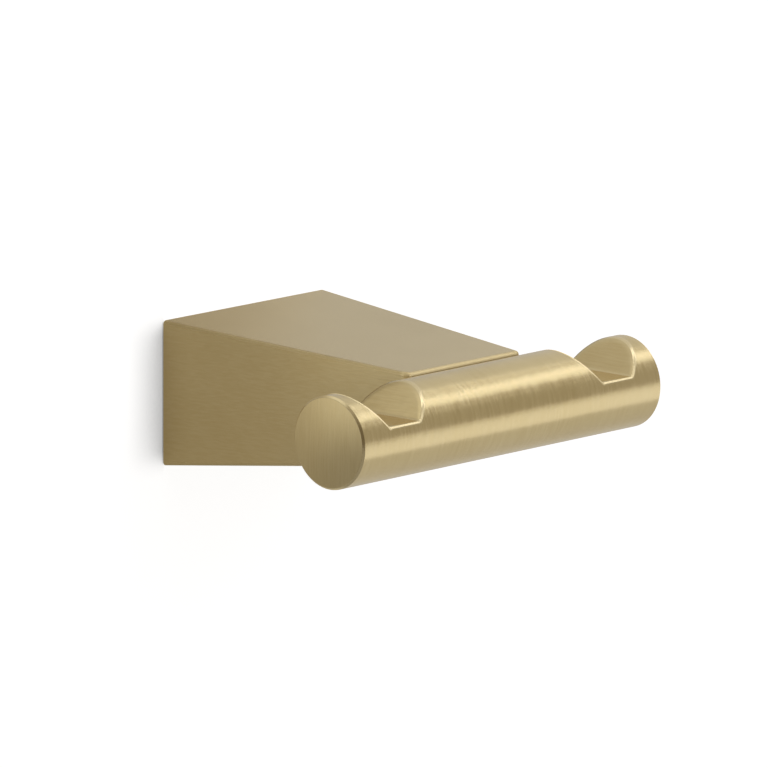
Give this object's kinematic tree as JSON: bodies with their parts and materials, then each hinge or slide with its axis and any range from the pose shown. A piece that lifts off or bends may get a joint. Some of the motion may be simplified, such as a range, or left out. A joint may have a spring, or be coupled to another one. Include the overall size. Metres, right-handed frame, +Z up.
{
  "type": "double robe hook",
  "caption": "Wall hook: a tapered post that carries a round cross bar with a flat-bottomed notch near each end, on a hidden wall bracket.",
  "frame": {"origin": "centre of the wall bracket's back face, on the wall plane, which is also the middle of the post's wall end", "axes": "+Y into the wall, +X along the bar (to the right as the hook is seen from the room), +Z up; the hook stands out towards -Y"},
  "size_m": [0.0954, 0.0783, 0.0316],
  "materials": {
    "brushed_brass": "brushed, satin",
    "bracket_zinc": "cast, tumbled",
    "screw_steel": "zinc plated"
  },
  "bodies": {
    "root": {"post": "brushed_brass", "bar": "brushed_brass", "bar_screw": "screw_steel", "spring_washer": "screw_steel", "wall_bracket": "bracket_zinc", "grub_screw": "screw_steel"}
  },
  "joints": []
}
